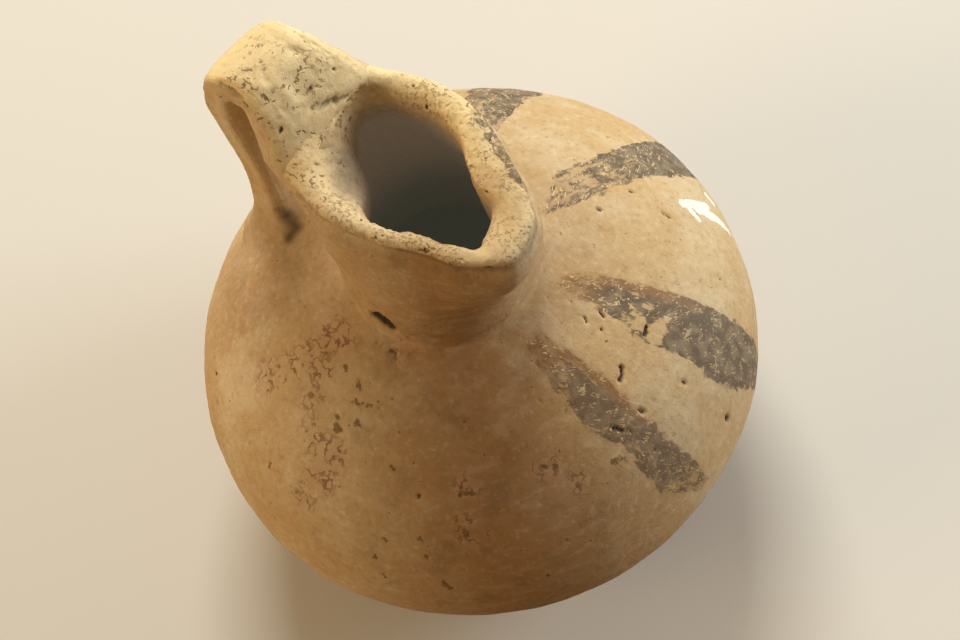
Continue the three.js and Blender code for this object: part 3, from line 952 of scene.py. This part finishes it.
def wallPiece(name, blocks):
    # A piece of the wall from blocks of the grid's rows, joined end to end in a ring; a block that begins or
    # ends on the axis is closed there by a fan
    columns = wallShape[1]
    rows = np.unique(np.concatenate([np.arange(first, last + 1) for first, last in blocks]))
    poles = [row for row in (0, lastRow) if row in rows]
    kept = np.array([row for row in rows if row not in poles])
    index = (kept[:, None] * columns + np.arange(columns)).ravel()
    points = wallSkin[index]
    normals = wallShading.reshape(-1, 3)[index]
    notes = {note: values[index] for note, values in wallNotes.items()}
    faces = [bandFaces(len(kept), columns, 0)]
    last = (len(kept) - 1) * columns
    if poles:
        # the rows run from the base's middle out, up, in through the joint and down to the floor's middle
        for row, edge, inner in ((0, 0, False), (lastRow, last, True)):
            faces.append(fanFaces(len(points), edge, columns, inner))
            points = np.concatenate([points, wallSkin[row * columns][None]])
            normals = np.concatenate([normals, [[0, 0, 1.0 if inner else -1.0]]])
            notes = {note: np.append(notes[note], wallNotes[note][row * columns]) for note in notes}
    else:
        ring = np.arange(columns)
        after = (ring + 1) % columns
        faces.append(np.stack([last + ring, last + after, after, ring], axis=-1))
    return closedSkin(name, points, faces, notes, normals)


def strapPiece(name):
    rows, columns = strap["rows"], strap["columns"]
    faces = [bandFaces(rows, columns, 0)[:, ::-1]]
    points = strapPoints
    notes = surfaceNotes(strapPoints, strapNormals, strapShade, np.zeros(len(strapPoints)))
    notes["paint"] = np.minimum(notes["paint"], np.where(strapPoints[:, 2] > 62, -9, 9))
    for edge, root in ((0, True), ((rows - 1) * columns, False)):
        faces.append(fanFaces(len(points), edge, columns, root))
        points = np.concatenate([points, points[edge : edge + columns].mean(axis=0)[None]])
        notes = {note: np.append(notes[note], notes[note][edge]) for note in notes}
    return closedSkin(name, points, faces, notes)


# Shader maths written as expressions
class Wire:
    # One socket of a material's tree; an operator on it adds a Math node
    def __init__(self, tree, socket):
        self.tree = tree
        self.socket = socket

    def math(self, operation, *values):
        made = self.tree.nodes.new("ShaderNodeMath")
        made.operation = operation
        for slot, value in zip(made.inputs, values):
            if isinstance(value, Wire):
                self.tree.links.new(value.socket, slot)
            else:
                slot.default_value = value
        return Wire(self.tree, made.outputs[0])

    def __add__(self, other):
        return self.math("ADD", self, other)

    def __sub__(self, other):
        return self.math("SUBTRACT", self, other)

    def __rsub__(self, other):
        return self.math("SUBTRACT", other, self)

    def __mul__(self, other):
        return self.math("MULTIPLY", self, other)

    def __abs__(self):
        return self.math("ABSOLUTE", self)

    __radd__ = __add__
    __rmul__ = __mul__


class Finish:
    # A material and its node tree
    def __init__(self, name):
        self.material = bpy.data.materials.new(name)
        self.material.use_nodes = True
        self.tree = self.material.node_tree
        self.tree.nodes.clear()

    def node(self, kind, settings, sockets, output=0):
        made = self.tree.nodes.new(kind)
        for key, value in settings.items():
            setattr(made, key, value)
        for key, value in sockets.items():
            if isinstance(value, Wire):
                self.tree.links.new(value.socket, made.inputs[key])
            else:
                made.inputs[key].default_value = value
        return Wire(self.tree, made.outputs[output]) if len(made.outputs) else None

    def note(self, name):
        return self.node("ShaderNodeAttribute", {"attribute_name": name}, {}, "Fac")

    def noise(self, at, size, detail=2.0, roughness=0.5):
        sockets = {"Vector": at, "Scale": 1 / size, "Detail": detail, "Roughness": roughness}
        return self.node("ShaderNodeTexNoise", {}, sockets, "Fac")

    def rising(self, value, low, high):
        # 0 below low, 1 above high, eased in between
        sockets = {"Value": value, "From Min": low, "From Max": high}
        return self.node("ShaderNodeMapRange", {"interpolation_type": "SMOOTHSTEP"}, sockets)

    def mix(self, share, first, second):
        settings = {"data_type": "RGBA", "clamp_factor": True}
        return self.node("ShaderNodeMix", settings, {0: share, 6: first, 7: second}, 2)

    def stretched(self, at, scale):
        return self.node("ShaderNodeVectorMath", {"operation": "MULTIPLY"}, {0: at, 1: scale})


def colour(text):
    # A screen colour as the linear colour that a socket takes
    parts = [int(text[k : k + 2], 16) / 255 for k in (1, 3, 5)]
    return tuple(c / 12.92 if c <= 0.04045 else ((c + 0.055) / 1.055) ** 2.4 for c in parts) + (1,)


clay = {
    "pale": "#d9c199",
    "warm": "#cfaf80",
    # The clay's brown, also the colour of the painted shade on the front, neck and near lip
    "brownAndShade": "#96683a",
    "dust": "#e8d6b2",
    "dark": "#97774f",
    "crust": "#744c2b",
    "crustVeil": "#c49878",
    "cream": "#ffe6b0",
    "paint": "#61564a",
    "paintSoft": "#8d7e69",
    "paintThin": "#8f6338",
    "stain": "#6a4f2c",
    "lime": "#f6f3e8",
    # Painted shade in pits, dents and the corner under the strap
    "recessShade": "#33261a",
    # The throat's tone: partly dirt, partly painted shade
    "inside": "#96836a",
    # Painted shade deep in the throat
    "deep": "#6d6557",
    # Painted light: a faint glow inside the throat, dimmer deeper down
    "insideGlow": (0.044, 0.038, 0.029, 1),
    "deepGlow": (0.024, 0.025, 0.018, 1),
    "roughness": 0.86,
}

# Sizes of the mottling in mm, and how strongly each finish covers the clay, from 0 to 1
mottle = {"broad": 17, "cloud": 4.5, "patch": 2.4, "grain": 1.1, "flake": 0.75, "fine": 0.32, "wheel": 5}
amount = {
    "speck": 0.6,
    "grit": 0.4,
    "veil": 0.45,
    "smear": 0.7,
    "net": 0.75,
    "stain": 0.75,
    "paint": 0.92,
    "recessShade": 0.92,
    "corner": 0.8,
    "inside": 0.85,
    "deep": 0.8,
}


def clayFinish():
    finish = Finish("fired_clay")
    note, noise, rising = finish.note, finish.noise, finish.rising

    def tint(share, base, name):
        return finish.mix(share, base, colour(clay[name]))

    at = finish.node("ShaderNodeTexCoord", {}, {}, "Object")
    at = finish.stretched(at, (1 / mm, 1 / mm, 1 / mm))
    broad = noise(at, mottle["broad"], 2)
    cloud = noise(at, mottle["cloud"], 3)
    patch = noise(at, mottle["patch"], 3)
    grain = noise(at, mottle["grain"], 4, 0.6)
    flake = noise(at, mottle["flake"], 3, 0.65)
    fine = noise(at, mottle["fine"], 2)
    wheel = noise(finish.stretched(at, (1, 1, 4)), mottle["wheel"], 3)

    tone = rising(broad * 0.6 + cloud * 0.4, 0.4, 0.6)
    base = finish.mix(tone, colour(clay["warm"]), colour(clay["pale"]))
    # The clay's brown tone and the painted shade on the front, neck, near lip and beside the handle's foot;
    # the stain blotches below are stronger there
    brownAndShade = note("brownAndShade") + (cloud - 0.5) * 0.25 * note("brownAndShade")
    base = tint(brownAndShade, base, "brownAndShade")
    blotch = rising(noise(at, 6, 5, 0.65), 0.5, 0.66) * (0.06 + 0.3 * brownAndShade)
    base = tint(blotch, base, "stain")
    base = tint(rising(wheel, 0.5, 0.72) * 0.14, base, "dust")
    # Cream on the upward faces of the rim and strap: partly rubbing wear, partly painted highlight
    rubbedAndHighlight = note("rubbedAndHighlight")
    base = tint(rubbedAndHighlight * (0.6 + 0.6 * patch), base, "cream")
    base = tint(rising(grain, 0.52, 0.74) * 0.38, base, "dark")
    pale = rising(grain, 0.46, 0.28) * (0.4 - 0.3 * note("brownAndShade"))
    base = tint(pale, base, "dust")
    base = tint(rising(fine, 0.55, 0.8) * 0.25, base, "dark")
    speck = rising(noise(at, 0.9, 1), 0.73, 0.77) * rising(patch, 0.42, 0.6)
    base = tint(speck * amount["speck"], base, "crust")
    coarse = noise(at, 0.6, 2)
    grit = rising(coarse, 0.54, 0.62) * rising(cloud, 0.38, 0.56) * note("rim")
    base = tint(grit * amount["grit"], base, "dark")
    # Painted shade in the groove under the lip, in the stain's colour
    base = tint(note("groove") * (0.1 + 0.5 * patch), base, "stain")

    warp = finish.node("ShaderNodeTexNoise", {}, {"Vector": at, "Scale": 0.6, "Detail": 1.0}, "Color")
    bend = {"operation": "MULTIPLY_ADD"}
    bent = finish.node("ShaderNodeVectorMath", bend, {0: warp, 1: (1.6, 1.6, 1.6), 2: at})
    clustered = rising(noise(at, 3.6, 1), 0.45, 0.58)
    strokes = rising(noise(at, 1.0, 1), 0.5, 0.57) * clustered
    threads = abs(noise(bent, 1.1, 1) - 0.5)
    loops = abs(noise(bent, 2.1, 2) - 0.5)
    net = rising(threads, 0.085, 0.03) * strokes * note("fineCrust")
    smear = rising(loops, 0.06, 0.02) * rising(patch, 0.4, 0.54) * note("broadCrust")
    veil = note("broadCrust") * rising(cloud, 0.36, 0.6) * amount["veil"]
    base = tint(veil, base, "crustVeil")
    base = tint(smear * amount["smear"], base, "crust")
    ragged = note("stain") + (flake - 0.5) * 2.2 + (patch - 0.5) * 1.4
    base = tint(rising(ragged, -0.1, 0.35) * amount["stain"], base, "stain")

    along = note("along")
    across = note("across")
    pulled = finish.node("ShaderNodeCombineXYZ", {}, {"X": along * 0.32, "Y": across * 1.15})
    brush = noise(pulled, 1, 4, 0.6)
    slanted = {"X": (along + across * 0.6) * 0.3, "Y": (across - along * 0.6) * 0.9}
    slant = finish.node("ShaderNodeCombineXYZ", {}, slanted)
    edge = note("paint") + (noise(at, 1.8, 2) - 0.5) * 2.0 + (brush - 0.5) * 2.2
    laid = rising(edge, -0.15, 0.3)
    worn = note("worn")
    thin = note("thin")
    hairs = abs(noise(slant, 1, 2) - 0.5)
    scratch = rising(hairs, 0.032, 0.01) * rising(noise(at, 1.6, 1), 0.5, 0.58)
    dots = rising(noise(at, 0.75, 1), 0.69, 0.75)
    patchy = brush * 0.4 + noise(at, 3.2, 2) * 0.35 + flake * 0.25
    kept = rising(patchy - worn * 0.3, 0.28, 0.37) * (1 - scratch * (0.3 + worn)) * (1 - dots)
    fleck = rising(fine, 0.58, 0.72) * (0.1 + 0.6 * worn)
    covered = laid * kept * (1 - fleck)
    softer = rising(patch, 0.4, 0.62) * 0.8
    stain = finish.mix(softer, colour(clay["paint"]), colour(clay["paintSoft"]))
    stain = finish.mix(thin * 0.8, stain, colour(clay["paintThin"]))
    halo = rising(edge, -0.9, 0.5)
    base = tint(laid * 0.2, base, "paintThin")
    base = tint(halo * thin * (0.35 + 0.5 * patch), base, "paintThin")
    base = finish.mix(covered * (amount["paint"] - 0.35 * thin), base, stain)
    base = tint(laid * (scratch + dots) * (0.15 + worn * 0.5), base, "cream")

    limed = rising(note("lime") + (flake - 0.5) * 1.4, 0, 0.2)
    base = tint(limed, base, "lime")
    # Painted shade in pits and dents, darkest at their middles
    sunk = note("pits") * (0.45 + 1.1 * flake)
    base = tint(rising(sunk, 0.15, 0.7) * amount["recessShade"], base, "recessShade")
    # Painted shadow in the corner under the strap's near edge
    base = tint(note("corner") * amount["corner"], base, "recessShade")
    # The throat's grey-brown: partly dirt, partly painted shade
    inside = note("inside")
    dirtAndShade = rising(inside + (grain - 0.5) * 1.2 * inside, 0, 1)
    base = tint(dirtAndShade * amount["inside"], base, "inside")
    base = tint(net * amount["net"], base, "crust")
    # Painted shade, darker deeper in the throat
    deep = note("deep")
    base = tint(deep * amount["deep"], base, "deep")
    # Painted light: the throat glows faintly to stand for light that reaches into it
    glow = finish.mix(deep, clay["insideGlow"], clay["deepGlow"])
    glow = finish.mix(inside, (0, 0, 0, 1), glow)

    raised = grain * 0.09 + fine * 0.05 + covered * 0.03 + limed * 0.1
    height = raised - speck * 0.1 - net * 0.05 - grit * 0.16
    bump = finish.node("ShaderNodeBump", {}, {"Height": height, "Distance": mm, "Strength": 1.0})
    roughness = clay["roughness"] + (grain - 0.5) * 0.12 - covered * 0.1
    sockets = {
        "Base Color": base,
        "Roughness": roughness,
        "Normal": bump,
        "Emission Color": glow,
        "Emission Strength": 1.0,
        "Specular IOR Level": 0.25,
    }
    shader = finish.node("ShaderNodeBsdfPrincipled", {}, sockets)
    finish.node("ShaderNodeOutputMaterial", {}, {"Surface": shader})
    return finish.material


firedClay = clayFinish()
startRow["end"] = lastRow

# Each piece of the wall: the runs it begins and stops at, first outside and then inside
pieces = {
    "lower_body_skin": ("base", "shoulder", "bowlInside", "end", "lower_body", "buff_clay"),
    "shoulder_skin": ("shoulder", "neck", "shoulderInside", "bowlInside", "upper_body", "buff_clay"),
    "neck_skin": ("neck", "band", "neckInside", "shoulderInside", "neck", "neck_clay"),
    "mouth_skin": ("band", "roll", "roll", "neckInside", "mouth_band", "rim_clay"),
}
for name, (*bounds, node, slot) in pieces.items():
    ends = [startRow[bound] for bound in bounds]
    piece = wallPiece(name, [ends[:2], ends[2:]])
    piece.data.materials.append(firedClay)
    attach(piece, "root")
    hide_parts(node)
    print("piece:", name, len(piece.data.polygons), "faces")

handle = strapPiece("strap_skin")
handle.data.materials.append(firedClay)
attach(handle, "root")
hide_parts("strap_handle", "upper_handle_wad", "lower_handle_wad")
print("piece: strap_skin", len(handle.data.polygons), "faces")

# The stage: a pale floor, which bounces less light than it shows, and soft lamps
stage = {"floorSize": 4.0, "shown": (0.78, 0.76, 0.72, 1), "bounce": (0.34, 0.26, 0.18, 1)}


def floorFinish():
    finish = Finish("pale_floor")
    rays = ("Is Camera Ray", "Is Glossy Ray", "Is Transmission Ray")
    camera, glossy, through = (finish.node("ShaderNodeLightPath", {}, {}, ray) for ray in rays)
    seen = camera + glossy + through
    tone = finish.mix(seen, stage["bounce"], stage["shown"])
    shader = finish.node("ShaderNodeBsdfDiffuse", {}, {"Color": tone})
    finish.node("ShaderNodeOutputMaterial", {}, {"Surface": shader})
    return finish.material


half = stage["floorSize"] / 2
floorMesh = bpy.data.meshes.new("floor")
floorCorners = [(-half, -half, 0), (half, -half, 0), (half, half, 0), (-half, half, 0)]
floorMesh.from_pydata(floorCorners, [], [(0, 1, 2, 3)])
floor = bpy.data.objects.new("floor", floorMesh)
floor.data.materials.append(floorFinish())
scene.collection.objects.link(floor)

# The photograph's camera: degrees, mm, and pixels of the 960 by 640 frame
shot = {
    "elevation": 63,
    "azimuth": 54,
    "roll": -20.5,
    "distance": 320,
    "target": (0, 0, 31),
    "focal": 1770,
    "centre": (477, 342),
    "frame": (960, 640),
}


def shotAxes():
    # The picture's right, up and towards-the-camera directions, turned by the roll about the last
    a, e, roll = (math.radians(shot[key]) for key in ("azimuth", "elevation", "roll"))
    back = Vector((math.sin(a) * math.cos(e), -math.cos(a) * math.cos(e), math.sin(e)))
    level = Vector((math.cos(a), math.sin(a), 0))
    upright = back.cross(level)
    right = math.cos(roll) * level + math.sin(roll) * upright
    return right, back.cross(right), back


def placeCamera():
    # The lens is the focal length in pixels as a share of the frame's width, and the centre shifts it
    right, up, back = shotAxes()
    camera = bpy.data.objects.new("shot_camera", bpy.data.cameras.new("shot_camera"))
    camera.matrix_world = Matrix((right, up, back)).transposed().to_4x4()
    camera.location = (Vector(shot["target"]) + shot["distance"] * back) * mm
    width, height = shot["frame"]
    camera.data.sensor_width = 36
    camera.data.lens = shot["focal"] * 36 / width
    camera.data.shift_x = (width / 2 - shot["centre"][0]) / width
    camera.data.shift_y = (shot["centre"][1] - height / 2) / width
    camera.data.clip_start = 0.01
    scene.collection.objects.link(camera)
    scene.camera = camera


placeCamera()

# Lamps: the direction they come from as shares of the picture's right, up and towards the camera, all at one
# distance and of one size in metres, and the world's soft fill
lampAway = 0.9
lampSize = 0.4
lamps = {
    "top": {"from": (-0.17, 0.95, 0.3), "power": 6.4, "colour": (1.0, 0.97, 0.86)},
    "right": {"from": (0.87, 0.41, 0.28), "power": 5.3, "colour": (0.88, 0.95, 1.0)},
    "left": {"from": (-0.91, -0.2, 0.3), "power": 3.3, "colour": (1.0, 0.74, 0.44)},
}
fill = {"colour": (1.0, 0.74, 0.45, 1), "strength": 0.2}
right, up, back = shotAxes()
for name, lamp in lamps.items():
    light = bpy.data.lights.new(name, "AREA")
    light.energy = lamp["power"]
    light.size = lampSize
    light.color = lamp["colour"]
    source = bpy.data.objects.new(name, light)
    towards = (lamp["from"][0] * right + lamp["from"][1] * up + lamp["from"][2] * back).normalized()
    source.rotation_euler = towards.to_track_quat("Z", "Y").to_euler()
    source.location = Vector(shot["target"]) * mm + lampAway * towards
    scene.collection.objects.link(source)

world = bpy.data.worlds.new("studio")
world.use_nodes = True
backdrop = world.node_tree.nodes["Background"]
backdrop.inputs["Color"].default_value = fill["colour"]
backdrop.inputs["Strength"].default_value = fill["strength"]
scene.world = world
scene.view_settings.view_transform = "Standard"
print("stage set")
